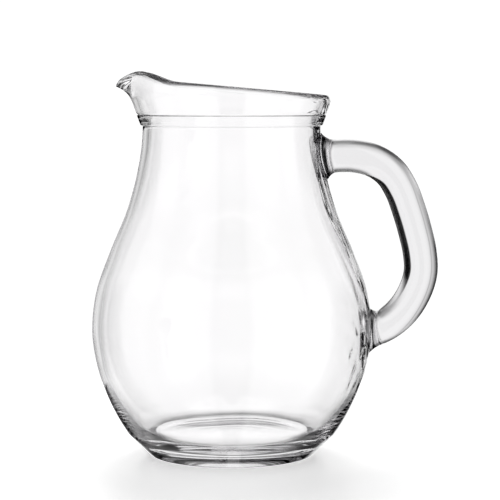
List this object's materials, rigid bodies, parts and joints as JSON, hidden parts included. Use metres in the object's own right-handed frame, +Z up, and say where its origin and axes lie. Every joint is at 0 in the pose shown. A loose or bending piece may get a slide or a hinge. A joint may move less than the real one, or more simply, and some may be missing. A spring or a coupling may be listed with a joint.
{
  "type": "glass water jug",
  "caption": "Clear glass jug with a round belly, a waisted neck, a collar band, a sloping flared rim with a pouring spout, and a solid loop handle.",
  "frame": {"origin": "centre of the base, on the axis of the body, at the height the jug stands on", "axes": "+Z up along the body's axis, +X from the axis towards the handle, -X towards the spout, +Y to the left when looking along +X"},
  "size_m": [0.1732, 0.14, 0.191],
  "materials": {
    "body_glass": "clear polished glass, wall about 3 mm",
    "handle_glass": "clear fire-polished glass, solid rod"
  },
  "bodies": {
    "root": {"base": "body_glass", "bowl": "body_glass", "shoulder": "body_glass", "neck": "body_glass", "collar_band": "body_glass", "pouring_rim": "body_glass", "handle_upper_root": "handle_glass", "handle_grip": "handle_glass", "handle_lower_root": "handle_glass"}
  },
  "joints": []
}
